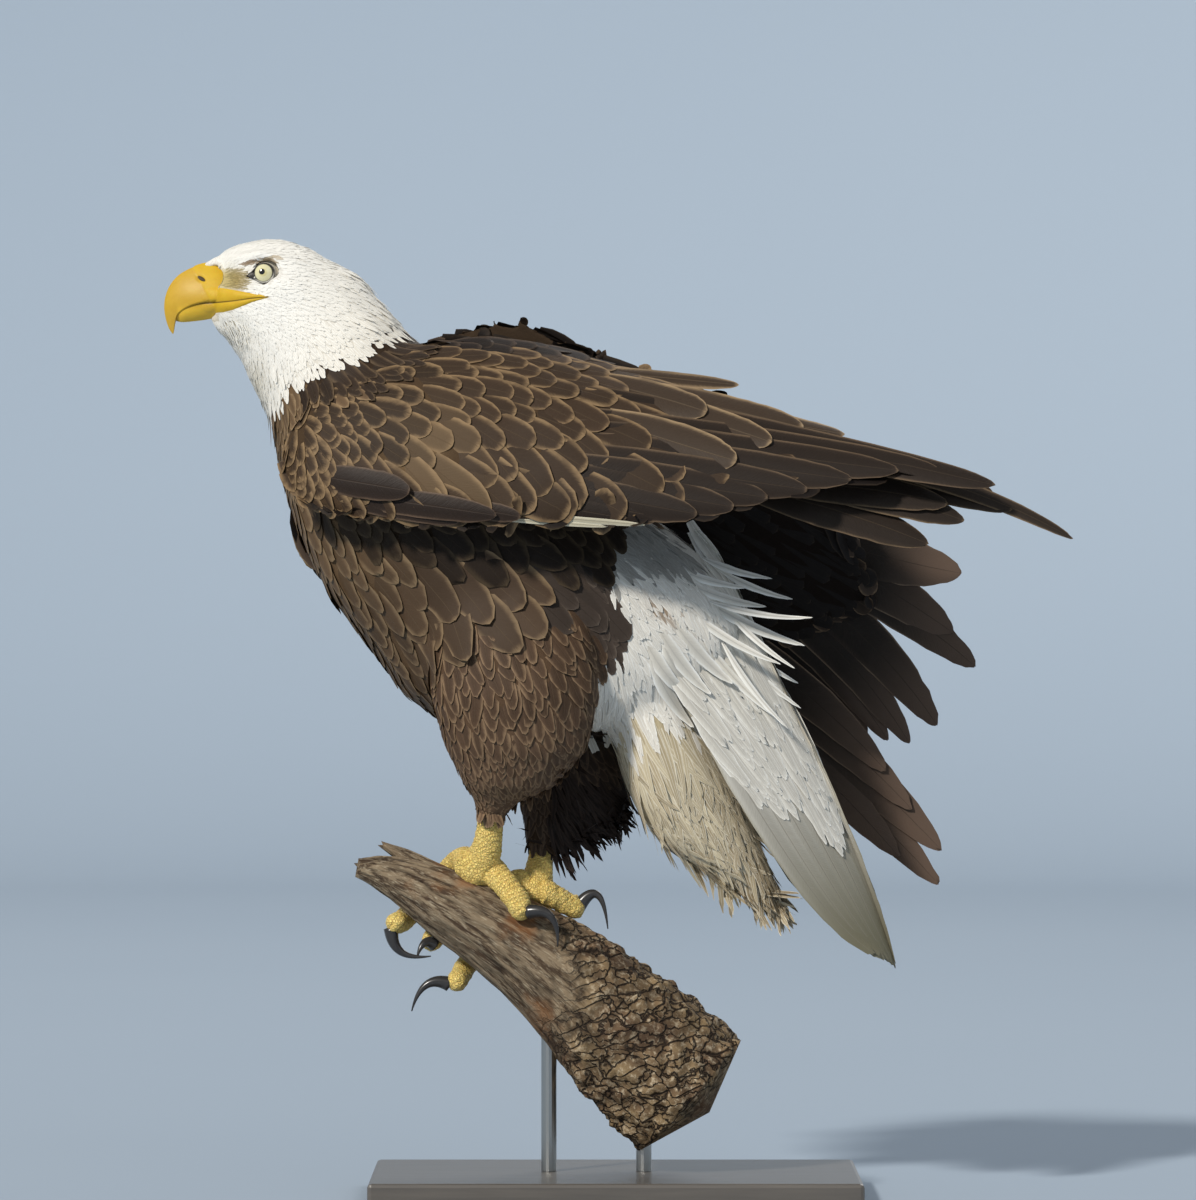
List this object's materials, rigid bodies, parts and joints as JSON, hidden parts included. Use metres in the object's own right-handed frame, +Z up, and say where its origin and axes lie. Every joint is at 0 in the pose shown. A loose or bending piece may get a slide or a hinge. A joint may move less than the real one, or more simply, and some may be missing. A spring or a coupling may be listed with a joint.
{
  "type": "bald eagle model",
  "caption": "Life-size adult bald eagle, one wing lifted and the other drooped, gripping a short cut length of dead branch on a plain display stand.",
  "frame": {"origin": "centre of the underside of the stand's base, on the floor", "axes": "+Z up, the bird's bill points to -X, its left side is -Y"},
  "size_m": [0.7046, 0.2659, 0.748],
  "materials": {
    "white_feather": "matte",
    "brown_feather": "matte",
    "flight_feather": "satin",
    "bill": "satin",
    "foot_skin": "satin",
    "claw_horn": "gloss",
    "eye": "gloss",
    "dead_wood": "matte",
    "stand_wood": "satin",
    "stand_steel": "satin"
  },
  "bodies": {
    "root": {"head": "white_feather", "neck": "white_feather", "rump": "white_feather", "tail": "white_feather", "undertail_coverts": "white_feather", "trunk": "brown_feather", "wing_left": "brown_feather", "wing_right": "brown_feather", "thigh_left": "brown_feather", "thigh_right": "brown_feather", "wing_left_primary_1": "flight_feather", "wing_left_primary_2": "flight_feather", "wing_left_primary_3": "flight_feather", "wing_left_primary_4": "flight_feather", "wing_right_secondary_1": "flight_feather", "wing_right_secondary_2": "flight_feather", "wing_right_secondary_3": "flight_feather", "wing_right_secondary_4": "flight_feather", "wing_right_secondary_5": "flight_feather", "wing_right_secondary_6": "flight_feather", "wing_right_secondary_7": "flight_feather", "wing_right_primary_1": "flight_feather", "wing_right_primary_2": "flight_feather", "wing_right_primary_3": "flight_feather", "bill_upper": "bill", "bill_lower": "bill", "eye_left": "eye", "eye_right": "eye", "shank_left": "foot_skin", "toe_left_inner": "foot_skin", "claw_left_inner": "claw_horn", "toe_left_middle": "foot_skin", "claw_left_middle": "claw_horn", "toe_left_outer": "foot_skin", "claw_left_outer": "claw_horn", "toe_left_hind": "foot_skin", "claw_left_hind": "claw_horn", "shank_right": "foot_skin", "toe_right_inner": "foot_skin", "claw_right_inner": "claw_horn", "toe_right_middle": "foot_skin", "claw_right_middle": "claw_horn", "toe_right_outer": "foot_skin", "claw_right_outer": "claw_horn", "toe_right_hind": "foot_skin", "claw_right_hind": "claw_horn", "perch_branch": "dead_wood", "stand_base": "stand_wood", "stand_rod_front": "stand_steel", "stand_rod_rear": "stand_steel"}
  },
  "joints": []
}
